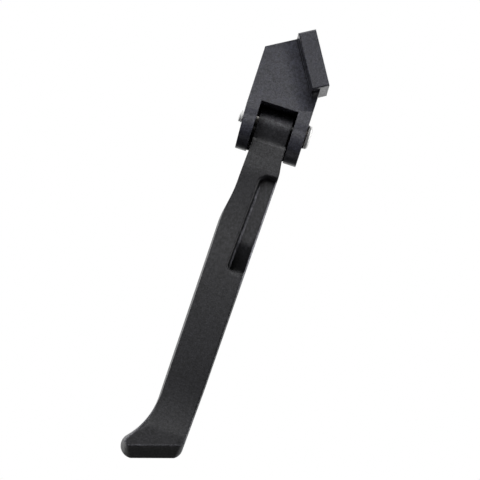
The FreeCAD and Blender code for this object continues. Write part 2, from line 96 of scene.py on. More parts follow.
# Sizes of the bolt, measured on the frame.
BOLT_POINTS = in_hinge("pivot_bolt")
BOLT_TIP = min(point.x for point in BOLT_POINTS)
BOLT_TOP = max(point.x for point in BOLT_POINTS)
HEAD_SEAT = max(point.x for point in in_hinge("head_washer"))
HEAD_RADIUS = max(off_axis(point) for point in BOLT_POINTS)
SHANK_RADIUS = max(off_axis(point) for point in BOLT_POINTS if point.x < 0)

# How finely the bolt is made, and the sizes that no setting changes.
SEGMENTS = 96
DOME_STEPS = 12
THREAD_STEPS = 121
BOLT_EDGE = 0.12 * MILLIMETRE
SOCKET_CONE = 0.36 * MILLIMETRE
THREAD_FLANK = (0.12, 0.88)
THREAD_WELD = 1e-6
BOLT_WELD = 2e-6
SHARP_ANGLE = math.radians(32)

# Flat creases across the leg: drop below the pivot, and reach to the left and right of its middle line.
LEG_CREASES = [
    in_metres(7.6, -4.5, 4.5),
    in_metres(49.6, 1.5, 6.5),
    in_metres(61.2, 1.5, 6.5),
    in_metres(131.6, -14.0, 3.0),
]
CREASE_FADE = (0.5, 1.2)

# Where the coat evens out the castings: heights over the bare metal, and places counted from the pivot.
NECK_TOP, NECK_END, NECK_FILL = in_metres(-8.5, -18.7, 1.45)
LEDGE_END, LEDGE_FILL = in_metres(-23.2, 0.24)
EAR_START, EAR_END, EAR_FILL = in_metres(0.0, -9.5, 2.0)
BOW_TOP, BOW_END, BOW_FILL = in_metres(35.0, 2.0, 0.9)

# Where the plate is dished up to the leaning flange.
FLANGE_CORNER = PIVOT + Vector(in_metres(9.3, 0.0, 34.5))
FLANGE_LEAN = math.radians(13.3)
FLANGE_END = PIVOT.z + 12.0 * MILLIMETRE
ROOT_END = PIVOT.z + 4.0 * MILLIMETRE
ROOT_WIDTH, ROOT_FILL = in_metres(9.0, 2.8)

# Where the leg's edges get a painted highlight, from none to full: along the lip, and along the sides of
# the upper leg.
LIP_HIGHLIGHT = in_metres(-122.0, -126.0)
SIDE_HIGHLIGHT = in_metres(-72.0, -60.0)
SHARP_EDGE = (0.97, 0.82)
TURNED_SIDE = (0.25, 0.45)
SIDE_FRONT = (-0.4, -0.3)

# A painted highlight on the knuckle: how much lighter it gets between these heights over the pivot.
KNUCKLE_LOW, KNUCKLE_TOP = in_metres(-4.0, 4.5)
KNUCKLE_HIGHLIGHT = 3.0

# A painted highlight along the foot of the recess's wall: its upper and lower end, and how far right each
# is.
FOOT_HEIGHTS = in_metres(-24.6, -59.9)
FOOT_PLACES = in_metres(1.6, 0.1)
FOOT_WIDTH = 1.1 * MILLIMETRE
FOOT_FADE = 2.0 * FOOT_WIDTH
FOOT_HIGHLIGHT = 6.0
FOOT_DEPTH = in_metres(-2.8, -1.82)

# Painted shade in the bottom of the leg's recess: where it starts and where it is full, away from the
# viewer.
HOLLOW_SHADE_START, HOLLOW_SHADE_FULL = in_metres(-1.2, 2.5)
HOLLOW_SHADE_SHARE = 0.3

# Which faces count as looking forwards: how far they may turn sideways and away.
FRONT_SIDEWAYS = (0.4, 0.6)
FRONT_AWAY = (-0.1, 0.0)

# How the textures' noise turns into tone and roughness, and how fine their parts are.
NOISE_SPAN = (0.3, 0.7)
BEAD_SPAN = (0.0, 0.9)
FINE_SHARE = 0.7
SAND_SPECKLE = (0.6, 1.4)
SAND_PATCHES = (0.92, 1.08)
SAND_MATT = (0.07, -0.07)
PATCH_FINENESS = 90.0
MOTTLE_FINENESS = 900.0
BLOOM_FINENESS = 700.0
BLOOM_TONE = (0.9, 1.06)
BLOOM_MATT = (-0.08, 0.08)
TURNING_FINENESS = 9000.0
TURNING_RELIEF = 0.004 * MILLIMETRE

# The lamps: place from the stand's middle, width and height in metres, and beam in degrees.
LAMPS = {
    "front_lamp": ((-0.1, -1.0, 0.85), 1.0, 0.8, 90),
    "top_lamp": ((0.0, 0.25, 1.1), 1.2, 1.2, 120),
    "side_lamp": ((1.0, 0.35, 0.1), 0.15, 1.2, 120),
}
FLOOR_HALF = 0.3
FLOOR_ROUGHNESS = 0.8

# How strong the world is along each axis: from one part of the axis to another, and the strength at both.
WORLD_LIGHT = {
    "Y": ((-0.35, 0.25), (0.1, 1.0)),
    "Z": ((-0.55, -0.23), (0.03, 1.0)),
    "X": ((0.15, 0.45), (1.0, 0.35)),
}
DIFFUSE_SHARE = 0.55

# How nodes are set out in their editor, and the Mix node's sockets that share their names with others.
NODES_IN_ROW = 8
NODE_SPACE = (220, 320)
VECTOR_A, VECTOR_B, VECTOR_RESULT = 4, 5, 1
COLOUR_A, COLOUR_B, COLOUR_RESULT = 6, 7, 2


class CoatSettings(bpy.types.PropertyGroup):
    """The sand-textured coat of the two castings."""

    bracket_colour: bpy.props.FloatVectorProperty(
        name="Bracket Colour", description="Coat of the bracket", subtype="COLOR", size=3,
        min=0, max=1, default=(0.056, 0.057, 0.073))
    leg_colour: bpy.props.FloatVectorProperty(
        name="Leg Colour", description="Coat of the leg", subtype="COLOR", size=3,
        min=0, max=1, default=(0.031, 0.031, 0.035))
    bracket_roughness: bpy.props.FloatProperty(
        name="Bracket Roughness", description="Mean roughness of the bracket's coat",
        min=0, max=1, default=0.33)
    leg_roughness: bpy.props.FloatProperty(
        name="Leg Roughness", description="Mean roughness of the leg's coat",
        min=0, max=1, default=0.47)
    grain: bpy.props.FloatProperty(
        name="Grain", description="Size of one grain of the sand texture", subtype="DISTANCE",
        unit="LENGTH", default=0.55 * MILLIMETRE, precision=6)
    relief: bpy.props.FloatProperty(
        name="Relief", description="Height of the sand texture", subtype="DISTANCE",
        unit="LENGTH", default=0.03 * MILLIMETRE, precision=6)
    bracket_edge: bpy.props.FloatProperty(
        name="Bracket Edge", description="Radius of the coat over the bracket's edges",
        subtype="DISTANCE", unit="LENGTH", default=0.35 * MILLIMETRE, precision=6)
    leg_edge: bpy.props.FloatProperty(
        name="Leg Edge", description="Radius of the coat over the leg's edges",
        subtype="DISTANCE", unit="LENGTH", default=0.8 * MILLIMETRE, precision=6)
    crease: bpy.props.FloatProperty(
        name="Crease", description="Radius of the coat over the leg's flat creases",
        subtype="DISTANCE", unit="LENGTH", default=3.0 * MILLIMETRE, precision=6)
    # These two settings give the width and the strength of the painted highlight along the leg's edges.
    highlight_width: bpy.props.FloatProperty(
        name="Highlight Width", description="Width over which the leg's edges are rubbed lighter",
        subtype="DISTANCE", unit="LENGTH", default=1.2 * MILLIMETRE, precision=6)
    highlight_gain: bpy.props.FloatProperty(
        name="Highlight Gain", description="How many times lighter the rubbed edges are", min=1, default=10.0)


class PivotSettings(bpy.types.PropertyGroup):
    """The bolt, its thread and the metals of the pivot."""

    bolt_colour: bpy.props.FloatVectorProperty(
        name="Bolt Colour", description="Zinc plate of the bolt", subtype="COLOR", size=3,
        min=0, max=1, default=(0.95, 0.95, 0.94))
    washer_colour: bpy.props.FloatVectorProperty(
        name="Washer Colour", description="Dark washer under the bolt head", subtype="COLOR", size=3,
        min=0, max=1, default=(0.05, 0.045, 0.04))
    steel_colour: bpy.props.FloatVectorProperty(
        name="Steel Colour", description="Plain steel of the balls and the spring", subtype="COLOR", size=3,
        min=0, max=1, default=(0.5, 0.49, 0.47))
    # The two thrust washers are one part: the right one is near black as painted shade in its gap, and the
    # left one lighter for a painted glint.
    shaded_washer_colour: bpy.props.FloatVectorProperty(
        name="Shaded Washer Colour", description="Oiled black of the right thrust washer",
        subtype="COLOR", size=3, min=0, max=1, default=(0.02, 0.02, 0.02))
    glint_washer_colour: bpy.props.FloatVectorProperty(
        name="Glint Washer Colour", description="Rubbed black of the left thrust washer",
        subtype="COLOR", size=3, min=0, max=1, default=(0.15, 0.147, 0.14))
    bronze_colour: bpy.props.FloatVectorProperty(
        name="Bronze Colour", description="Sintered bronze of the bush", subtype="COLOR", size=3,
        min=0, max=1, default=(0.5, 0.34, 0.17))
    socket_flats: bpy.props.FloatProperty(
        name="Socket Flats", description="Width of the hexagon socket", subtype="DISTANCE",
        unit="LENGTH", default=3.0 * MILLIMETRE, precision=6)
    socket_depth: bpy.props.FloatProperty(
        name="Socket Depth", description="Depth of the hexagon socket", subtype="DISTANCE",
        unit="LENGTH", default=1.6 * MILLIMETRE, precision=6)
    crown_radius: bpy.props.FloatProperty(
        name="Crown Radius", description="Flat round the socket", subtype="DISTANCE",
        unit="LENGTH", default=2.9 * MILLIMETRE, precision=6)
    rim_height: bpy.props.FloatProperty(
        name="Rim Height", description="Upright edge of the head", subtype="DISTANCE",
        unit="LENGTH", default=0.6 * MILLIMETRE, precision=6)
    pitch: bpy.props.FloatProperty(
        name="Pitch", description="Thread pitch", subtype="DISTANCE",
        unit="LENGTH", default=0.8 * MILLIMETRE, precision=6)
    thread_depth: bpy.props.FloatProperty(
        name="Thread Depth", description="From crest to root", subtype="DISTANCE",
        unit="LENGTH", default=0.42 * MILLIMETRE, precision=6)
    thread_length: bpy.props.FloatProperty(
        name="Thread Length", description="From the bolt's end", subtype="DISTANCE",
        unit="LENGTH", default=6.0 * MILLIMETRE, precision=6)
    end_chamfer: bpy.props.FloatProperty(
        name="End Chamfer", description="Bevel at the bolt's end", subtype="DISTANCE",
        unit="LENGTH", default=0.5 * MILLIMETRE, precision=6)


class StudioSettings(bpy.types.PropertyGroup):
    """Camera, lamps, floor and backdrop."""

    azimuth: bpy.props.FloatProperty(
        name="Azimuth", description="Camera's way round the stand", subtype="ANGLE",
        default=math.radians(-2.3))
    elevation: bpy.props.FloatProperty(
        name="Elevation", description="Camera's height over the stand", subtype="ANGLE",
        default=math.radians(-9.5))
    distance: bpy.props.FloatProperty(
        name="Distance", description="From the camera to the stand", subtype="DISTANCE",
        unit="LENGTH", default=2.0)
    picture_width: bpy.props.FloatProperty(
        name="Picture Width", description="What the picture spans at the stand", subtype="DISTANCE",
        unit="LENGTH", default=193.5 * MILLIMETRE, precision=5)
    pivot_right: bpy.props.FloatProperty(
        name="Pivot Right", description="How far right of the picture's middle the pivot is",
        subtype="DISTANCE", unit="LENGTH", default=13.68 * MILLIMETRE, precision=5)
    pivot_up: bpy.props.FloatProperty(
        name="Pivot Up", description="How far above the picture's middle the pivot is",
        subtype="DISTANCE", unit="LENGTH", default=45.62 * MILLIMETRE, precision=5)
    floor_drop: bpy.props.FloatProperty(
        name="Floor Drop", description="From the sole down to the floor", subtype="DISTANCE",
        unit="LENGTH", default=0.8)
    floor_colour: bpy.props.FloatVectorProperty(
        name="Floor Colour", description="Pale floor", subtype="COLOR", size=3,
        min=0, max=1, default=(0.8, 0.8, 0.8))
    floor_lift: bpy.props.FloatProperty(
        name="Floor Lift", description="What the camera sees on top of the lit floor, up to white",
        min=0, max=1, default=0.5)
    front_lamp: bpy.props.FloatProperty(
        name="Front Lamp", description="Power of the soft lamp over the camera", subtype="POWER",
        unit="POWER", default=3.6)
    top_lamp: bpy.props.FloatProperty(
        name="Top Lamp", description="Power of the soft lamp overhead", subtype="POWER",
        unit="POWER", default=2.5)
    side_lamp: bpy.props.FloatProperty(
        name="Side Lamp", description="Power of the tall lamp on the right", subtype="POWER",
        unit="POWER", default=5.0)


def feed(tree, socket, value):
    """Gives an input a value, or joins it to another node's output."""
    if isinstance(value, bpy.types.NodeSocket):
        tree.links.new(value, socket)
    else:
        socket.default_value = value


def node_in(tree, kind, **inputs):
    """A new node of a tree, set out in rows, with named inputs set to values or joined to outputs."""
    row, column = divmod(len(tree.nodes), NODES_IN_ROW)
    node = tree.nodes.new(kind)
    node.location = (column * NODE_SPACE[0], -row * NODE_SPACE[1])
    for name, value in inputs.items():
        feed(tree, node.inputs[name.replace("_", " ")], value)
    return node


def calculate(tree, operation, *values):
    """A Math node's result."""
    node = node_in(tree, "ShaderNodeMath")
    node.operation = operation
    for socket, value in zip(node.inputs, values):
        feed(tree, socket, value)
    return node.outputs["Value"]


def product(tree, first, *others):
    """Values multiplied with each other."""
    for other in others:
        first = calculate(tree, "MULTIPLY", first, other)
    return first


def remap(tree, value, source, target):
    """A value taken from one range to another and kept inside it."""
    node = node_in(tree, "ShaderNodeMapRange", Value=value)
    for name, number in zip(("From Min", "From Max", "To Min", "To Max"), (*source, *target)):
        node.inputs[name].default_value = number
    return node.outputs["Result"]


def dot(tree, first, second):
    """The dot product of two vectors."""
    node = node_in(tree, "ShaderNodeVectorMath")
    node.operation = "DOT_PRODUCT"
    feed(tree, node.inputs[0], first)
    feed(tree, node.inputs[1], second)
    return node.outputs["Value"]


def new_group(name, kind, inputs, outputs):
    """A node group with named sockets, and its input and output nodes."""
    tree = bpy.data.node_groups.new(name, kind)
    for label, socket_type in inputs:
        tree.interface.new_socket(label, in_out="INPUT", socket_type=socket_type)
    for label, socket_type in outputs:
        tree.interface.new_socket(label, in_out="OUTPUT", socket_type=socket_type)
    return tree, node_in(tree, "NodeGroupInput"), node_in(tree, "NodeGroupOutput")


def new_texture(name):
    """A shader group that turns a place, a fineness and a roughness into height, tone and roughness."""
    return new_group(
        name, "ShaderNodeTree",
        [("Vector", "NodeSocketVector"), ("Fineness", "NodeSocketFloat"), ("Roughness", "NodeSocketFloat")],
        [("Height", "NodeSocketFloat"), ("Tone", "NodeSocketFloat"), ("Roughness", "NodeSocketFloat")])


def sand_group():
    """The fine sand texture of the coat: its height, its tone and its roughness."""
    if "sand_texture" in bpy.data.node_groups:
        return bpy.data.node_groups["sand_texture"]
    tree, given, result = new_texture("sand_texture")
    place = given.outputs["Vector"]
    fineness = given.outputs["Fineness"]
    fine = node_in(tree, "ShaderNodeTexNoise", Vector=place, Scale=fineness, Detail=3.0, Roughness=0.62)
    beads = node_in(tree, "ShaderNodeTexVoronoi", Vector=place, Scale=fineness)
    beads.feature = "SMOOTH_F1"
    broad = node_in(tree, "ShaderNodeTexNoise", Vector=place, Scale=PATCH_FINENESS, Detail=2.0)
    grains = node_in(tree, "ShaderNodeTexNoise", Vector=place, Scale=MOTTLE_FINENESS, Detail=1.0)
    round_tops = remap(tree, beads.outputs["Distance"], BEAD_SPAN, (1.0, 0.0))
    height = calculate(tree, "MULTIPLY_ADD", fine.outputs["Fac"], FINE_SHARE, round_tops)
    speckle = remap(tree, fine.outputs["Fac"], NOISE_SPAN, SAND_SPECKLE)
    patches = remap(tree, broad.outputs["Fac"], NOISE_SPAN, SAND_PATCHES)
    mottle = remap(tree, grains.outputs["Fac"], NOISE_SPAN, SAND_SPECKLE)
    matt = remap(tree, grains.outputs["Fac"], NOISE_SPAN, SAND_MATT)
    tree.links.new(height, result.inputs["Height"])
    tree.links.new(product(tree, mottle, patches, speckle), result.inputs["Tone"])
    tree.links.new(calculate(tree, "ADD", given.outputs["Roughness"], matt), result.inputs["Roughness"])
    return tree


def turned_group():
    """Marks left by turning, in rings round the pivot's axis: their height, tone and roughness."""
    if "turning_marks" in bpy.data.node_groups:
        return bpy.data.node_groups["turning_marks"]
    tree, given, result = new_texture("turning_marks")
    place = given.outputs["Vector"]
    parts = node_in(tree, "ShaderNodeSeparateXYZ", Vector=place).outputs
    square = product(tree, parts["Y"], parts["Y"])
    radius = calculate(tree, "SQRT", calculate(tree, "MULTIPLY_ADD", parts["Z"], parts["Z"], square))
    ring_place = node_in(tree, "ShaderNodeCombineXYZ", X=parts["X"], Y=radius)
    rings = node_in(tree, "ShaderNodeTexNoise", Vector=ring_place.outputs["Vector"],
                    Scale=given.outputs["Fineness"], Detail=3.0, Roughness=0.6)
    bloom = node_in(tree, "ShaderNodeTexNoise", Vector=place, Scale=BLOOM_FINENESS, Detail=3.0)
    tone = remap(tree, bloom.outputs["Fac"], NOISE_SPAN, BLOOM_TONE)
    matt = remap(tree, bloom.outputs["Fac"], NOISE_SPAN, BLOOM_MATT)
    tree.links.new(rings.outputs["Fac"], result.inputs["Height"])
    tree.links.new(tone, result.inputs["Tone"])
    tree.links.new(calculate(tree, "ADD", given.outputs["Roughness"], matt), result.inputs["Roughness"])
    return tree


def surface(tree, output):
    """The piece's own place or normal at the surface."""
    return node_in(tree, "ShaderNodeTexCoord").outputs[output]


def hinge_place(tree):
    """The place on the surface, counted in the hinge frame."""
    centre = node_in(tree, "ShaderNodeMapping", Vector=surface(tree, "Object"))
    centre.vector_type = "TEXTURE"
    centre.inputs["Location"].default_value = PIVOT
    centre.inputs["Rotation"].default_value = HINGE_FRAME.to_euler()
    return centre.outputs["Vector"]


def hinge_parts(tree):
    """The place on the surface, counted in the hinge frame, as X, Y and Z."""
    return node_in(tree, "ShaderNodeSeparateXYZ", Vector=hinge_place(tree)).outputs


def soft_normal(tree, edge_radius, creases, crease_radius):
    """The normal rounded over edges, and over a wider band at each crease of the leg."""
    edge = node_in(tree, "ShaderNodeBevel", Radius=edge_radius).outputs["Normal"]
    if not creases:
        return edge
    wide = node_in(tree, "ShaderNodeBevel", Radius=crease_radius).outputs["Normal"]
    fade = [share * crease_radius for share in CREASE_FADE]
    parts = hinge_parts(tree)
    band = 0.0
    for drop, left, right in creases:
        off = calculate(tree, "ABSOLUTE", calculate(tree, "ADD", parts["Z"], drop))
        near = remap(tree, off, fade, (1.0, 0.0))
        inside = remap(tree, parts["X"], (left - MILLIMETRE, left), (0.0, 1.0))
        outside = remap(tree, parts["X"], (right, right + MILLIMETRE), (1.0, 0.0))
        band = calculate(tree, "MAXIMUM", product(tree, inside, outside, near), band)
    mix = node_in(tree, "ShaderNodeMix", Factor=band)
    mix.data_type = "VECTOR"
    feed(tree, mix.inputs[VECTOR_A], edge)
    feed(tree, mix.inputs[VECTOR_B], wide)
    unit = node_in(tree, "ShaderNodeVectorMath")
    unit.operation = "NORMALIZE"
    feed(tree, unit.inputs[0], mix.outputs[VECTOR_RESULT])
    return unit.outputs["Vector"]


def sideways(tree):
    """How far the surface looks along the pivot, either way."""
    return calculate(tree, "ABSOLUTE", dot(tree, surface(tree, "Normal"), ALONG))


def front_share(tree):
    """One on faces that look forwards and not sideways, none elsewhere."""
    level = remap(tree, sideways(tree), FRONT_SIDEWAYS, (1.0, 0.0))
    ahead = remap(tree, dot(tree, surface(tree, "Normal"), ACROSS), FRONT_AWAY, (1.0, 0.0))
    return product(tree, level, ahead)


def rise_between(tree, start, end, height, interpolation="LINEAR"):
    """A height that grows from none to its full size between two heights of the hinge frame."""
    rise = remap(tree, hinge_parts(tree)["Z"], (start, end), (0.0, height))
    rise.node.interpolation_type = interpolation
    return rise


def curve_between(tree, start, end, height):
    """A height that grows ever faster between two heights of the hinge frame."""
    rise = rise_between(tree, start, end, 1.0)
    return product(tree, rise, rise, height)


def neck_height(tree):
    """What evens out the slope of the leg's neck and carries it on to the recess."""
    neck = rise_between(tree, NECK_END, NECK_TOP, NECK_FILL)
    return calculate(tree, "SUBTRACT", neck, curve_between(tree, LEDGE_END, NECK_END, LEDGE_FILL))


def bracket_height(tree):
    """What keeps the ears flat for longer and dishes the plate up to the flange."""
    place = surface(tree, "Object")
    leftward = Vector((-math.cos(FLANGE_LEAN), 0.0, -math.sin(FLANGE_LEAN)))
    off = calculate(tree, "SUBTRACT", dot(tree, place, leftward), FLANGE_CORNER.dot(leftward))
    near = remap(tree, off, (ROOT_WIDTH, 0.0), (0.0, 1.0))
    level = node_in(tree, "ShaderNodeSeparateXYZ", Vector=place).outputs["Z"]
    beside = remap(tree, level, (ROOT_END, FLANGE_END), (0.0, ROOT_FILL))
    root = product(tree, near, near, beside)
    bow = curve_between(tree, BOW_TOP, BOW_END, BOW_FILL)
    ears = rise_between(tree, EAR_START, EAR_END, EAR_FILL, "SMOOTHSTEP")
    return calculate(tree, "ADD", calculate(tree, "ADD", root, bow), ears)


def even_out(tree, normal, height):
    """The normal over a coat that has a height on the faces in front."""
    amount = product(tree, height, front_share(tree))
    bump = node_in(tree, "ShaderNodeBump", Height=amount, Distance=1.0, Normal=normal)
    return bump.outputs["Normal"]


def paint_edge_highlights(tree, width, highlight_gain):
    """A painted highlight: a tone that is lighter over the lip's sharp edges and over the rounded sides of
    the upper leg.
    """
    rounded = node_in(tree, "ShaderNodeBevel", Radius=width).outputs["Normal"]
    bare = node_in(tree, "ShaderNodeNewGeometry").outputs["True Normal"]
    sharp = remap(tree, dot(tree, rounded, bare), SHARP_EDGE, (1.0, highlight_gain))
    lip = calculate(tree, "MINIMUM", sharp, rise_between(tree, *LIP_HIGHLIGHT, highlight_gain))
    side = remap(tree, sideways(tree), TURNED_SIDE, (1.0, highlight_gain))
    ahead = remap(tree, dot(tree, surface(tree, "Normal"), ACROSS), SIDE_FRONT, (highlight_gain, 1.0))
    for limit in (ahead, rise_between(tree, *SIDE_HIGHLIGHT, highlight_gain)):
        side = calculate(tree, "MINIMUM", side, limit)
    return calculate(tree, "MAXIMUM", calculate(tree, "MAXIMUM", lip, side), 1.0)


def paint_hollow_shade(tree):
    """Painted shade: a tone that falls off towards the bottom of the hollows in the front."""
    parts = hinge_parts(tree)
    deep = remap(tree, parts["Y"], (HOLLOW_SHADE_START, HOLLOW_SHADE_FULL), (0.0, 1.0 - HOLLOW_SHADE_SHARE))
    below = remap(tree, parts["Z"], (NECK_END, NECK_TOP), (1.0, 0.0))
    return calculate(tree, "SUBTRACT", 1.0, product(tree, deep, below, front_share(tree)))


def paint_foot_highlight(tree):
    """A painted highlight: a tone that is lighter along the foot of the recess's wall."""
    parts = hinge_parts(tree)
    foot = remap(tree, parts["Z"], FOOT_HEIGHTS, FOOT_PLACES)
    off = calculate(tree, "SUBTRACT", parts["X"], foot)
    strip = remap(tree, off, (0.6 * FOOT_WIDTH, FOOT_WIDTH), (FOOT_HIGHLIGHT, 0.0))
    upper, lower = FOOT_HEIGHTS
    for value, source in (
        (off, (-0.2 * FOOT_WIDTH, 0.2 * FOOT_WIDTH)),
        (parts["Y"], FOOT_DEPTH),
        (parts["Z"], (upper, upper - FOOT_FADE)),
        (parts["Z"], (lower, lower + FOOT_FADE)),
    ):
        strip = product(tree, strip, remap(tree, value, source, (0.0, 1.0)))
    return calculate(tree, "MULTIPLY_ADD", strip, front_share(tree), 1.0)


def paint_knuckle_highlight(tree):
    """A painted highlight: a tone that is lighter towards the top of the knuckle."""
    lighter_top = rise_between(tree, KNUCKLE_LOW, KNUCKLE_TOP, KNUCKLE_HIGHLIGHT, "SMOOTHSTEP")
    return calculate(tree, "ADD", lighter_top, 1.0)


def shade(material, *shares):
    """Multiplies a coat's tone by each of these shares."""
    tree = material.node_tree
    tone = tree.nodes["tint"].inputs[COLOUR_B]
    tree.links.new(product(tree, tone.links[0].from_socket, *shares), tone)


def finish_material(name, group, colour, fineness, relief, metallic, roughness):
    """A material whose colour, roughness and relief come from one of the texture groups."""
    material = bpy.data.materials.new(name)
    material.use_nodes = True
    tree = material.node_tree
    shader = tree.nodes["Principled BSDF"]
    texture = node_in(tree, "ShaderNodeGroup")
    texture.node_tree = group
    tree.links.new(hinge_place(tree), texture.inputs["Vector"])
    texture.inputs["Fineness"].default_value = fineness
    texture.inputs["Roughness"].default_value = roughness
    tint = node_in(tree, "ShaderNodeMix", Factor=1.0)
    tint.name = "tint"
    tint.data_type = "RGBA"
    tint.blend_type = "MULTIPLY"
    tint.inputs[COLOUR_A].default_value = (*colour, 1.0)
    tree.links.new(texture.outputs["Tone"], tint.inputs[COLOUR_B])
    tree.links.new(tint.outputs[COLOUR_RESULT], shader.inputs["Base Color"])
    tree.links.new(texture.outputs["Roughness"], shader.inputs["Roughness"])
    bump = node_in(tree, "ShaderNodeBump", Height=texture.outputs["Height"], Strength=1.0, Distance=relief)
    bump.name = "relief"
    tree.links.new(bump.outputs["Normal"], shader.inputs["Normal"])
    shader.inputs["Metallic"].default_value = metallic
    return material


def turned_metal(name, colour, metallic=1.0, roughness=0.28):
    """A metal with turning marks round the pivot."""
    return finish_material(
        name, turned_group(), colour, TURNING_FINENESS, TURNING_RELIEF, metallic, roughness)


def coat_node(node, material):
    """Gives a node of the frame one material all over."""
    slots = frame["nodes"][node].data.materials
    slots.clear()
    slots.append(material)


class STAND_OT_coat_castings(bpy.types.Operator):
    """Coat the bracket and the leg with sand-textured black"""

    bl_idname = "stand.coat_castings"
    bl_label = "Coat Castings"

    def execute(self, context):
        coat = context.scene.stand_coat
        bracket = self.coat_casting(
            coat, "bracket_coat", coat.bracket_colour, coat.bracket_roughness,
            coat.bracket_edge, (), bracket_height)
        leg = self.coat_casting(
            coat, "leg_coat", coat.leg_colour, coat.leg_roughness,
            coat.leg_edge, LEG_CREASES, neck_height)
        tree = leg.node_tree
        # The leg's tone gets painted highlights on its edges, its knuckle and the foot of the recess wall,
        # and painted shade in its recess.
        edge_highlights = paint_edge_highlights(tree, coat.highlight_width, coat.highlight_gain)
        shade(leg, edge_highlights, paint_hollow_shade(tree), paint_knuckle_highlight(tree), paint_foot_highlight(tree))
        coat_node("mounting_bracket", bracket)
        coat_node("leg", leg)
        return {"FINISHED"}

    def coat_casting(self, coat, name, colour, roughness, edge, creases, height):
        """A coat that rounds edges and creases and evens out the casting."""
        material = finish_material(
            name, sand_group(), colour, 1.0 / coat.grain, coat.relief, 0.0, roughness)
        tree = material.node_tree
        normal = even_out(tree, soft_normal(tree, edge, creases, coat.crease), height(tree))
        tree.links.new(normal, tree.nodes["relief"].inputs["Normal"])
        return material


class STAND_OT_finish_pivot(bpy.types.Operator):
    """Finish the washers, bush, balls and spring of the pivot"""

    bl_idname = "stand.finish_pivot"
    bl_label = "Finish Pivot"

    def execute(self, context):
        pivot = context.scene.stand_pivot
        for name, colour, nodes in (
            ("dark_washer", pivot.washer_colour, ("head_washer",)),
            # The right thrust washer's near black is painted shade, and the left one's lighter steel is a
            # painted glint.
            ("blackened_steel", pivot.shaded_washer_colour, ("thrust_washer_right",)),
            ("rubbed_steel", pivot.glint_washer_colour, ("thrust_washer_left",)),
            ("plain_steel", pivot.steel_colour, ("detent_ball_left", "detent_ball_right", "detent_spring")),
            ("sintered_bronze", pivot.bronze_colour, ("pivot_bush",)),
        ):
            material = turned_metal(name, colour)
            for node in nodes:
                coat_node(node, material)
        return {"FINISHED"}


def thread_tree():
    """Geometry nodes that roll a thread with a bevelled end, in the hinge frame."""
    names = ("Radius", "Pitch", "Depth", "Length", "Tip", "Chamfer")
    tree, given, result = new_group(
        "bolt_thread", "GeometryNodeTree",
        [(name, "NodeSocketFloat") for name in names]
        + [("Steps", "NodeSocketInt"), ("Segments", "NodeSocketInt"), ("Material", "NodeSocketMaterial")],
        [("Geometry", "NodeSocketGeometry")])
    value = given.outputs
    around = calculate(tree, "ADD", value["Segments"], 1.0)
    grid = node_in(tree, "GeometryNodeMeshGrid", Size_X=value["Length"], Size_Y=math.tau,
                   Vertices_X=value["Steps"], Vertices_Y=around)
    position = node_in(tree, "GeometryNodeInputPosition").outputs["Position"]
    flat = node_in(tree, "ShaderNodeSeparateXYZ", Vector=position).outputs
    angle = flat["Y"]
    from_tip = calculate(tree, "ADD", flat["X"], product(tree, value["Length"], 0.5))
    turn = calculate(tree, "DIVIDE", angle, math.tau)
    pitches = calculate(tree, "DIVIDE", from_tip, value["Pitch"])
    phase = calculate(tree, "FRACT", calculate(tree, "ADD", pitches, turn))
    flank = calculate(tree, "PINGPONG", product(tree, phase, 2.0), 1.0)
    groove = remap(tree, flank, THREAD_FLANK, (0.0, 1.0))
    to_end = calculate(tree, "SUBTRACT", value["Length"], from_tip)
    runout = calculate(tree, "MINIMUM", calculate(tree, "DIVIDE", to_end, value["Pitch"]), 1.0)
    cut = product(tree, value["Depth"], groove, runout)
    rolled = calculate(tree, "SUBTRACT", value["Radius"], cut)
    tip_radius = calculate(tree, "SUBTRACT", value["Radius"], value["Chamfer"])
    radius = calculate(tree, "MINIMUM", rolled, calculate(tree, "ADD", tip_radius, from_tip))
    place = node_in(
        tree, "ShaderNodeCombineXYZ",
        X=calculate(tree, "ADD", from_tip, value["Tip"]),
        Y=product(tree, radius, calculate(tree, "COSINE", angle)),
        Z=product(tree, radius, calculate(tree, "SINE", angle)))
    shaped = node_in(tree, "GeometryNodeSetPosition", Geometry=grid.outputs["Mesh"],
                     Position=place.outputs["Vector"])
    closed = node_in(tree, "GeometryNodeMergeByDistance", Geometry=shaped.outputs["Geometry"],
                     Distance=THREAD_WELD)
    real = node_in(tree, "GeometryNodeRealizeInstances", Geometry=closed.outputs["Geometry"])
    plated = node_in(tree, "GeometryNodeSetMaterial", Geometry=real.outputs["Geometry"],
                     Material=value["Material"])
    tree.links.new(plated.outputs["Geometry"], result.inputs["Geometry"])
    return tree


def baked(tree, settings):
    """The plain mesh that a geometry node tree makes with these inputs."""
    holder = bpy.data.objects.new("thread_holder", bpy.data.meshes.new("thread_holder"))
    bpy.context.scene.collection.objects.link(holder)
    modifier = holder.modifiers.new("thread", "NODES")
    modifier.node_group = tree
    for item in tree.interface.items_tree:
        if item.in_out == "INPUT":
            modifier[item.identifier] = settings[item.name]
    bpy.context.view_layer.update()
    mesh = bpy.data.meshes.new_from_object(holder.evaluated_get(bpy.context.evaluated_depsgraph_get()))
    holder.modifiers.remove(modifier)
    bpy.data.objects.remove(holder)
    return mesh


def round_ring(x, radius):
    """A ring of points round the pivot's axis."""
    angles = [math.tau * step / SEGMENTS - math.pi for step in range(SEGMENTS)]
    return [Vector((x, radius * math.cos(angle), radius * math.sin(angle))) for angle in angles]


def hexagon_ring(x, flats):
    """A ring of points on a hexagon."""
    sixth = math.tau / 6
    ring = []
    for point in round_ring(x, 1.0):
        angle = math.atan2(point.z, point.y) % sixth - sixth / 2
        radius = flats / 2 / math.cos(angle)
        ring.append(Vector((x, point.y * radius, point.z * radius)))
    return ring


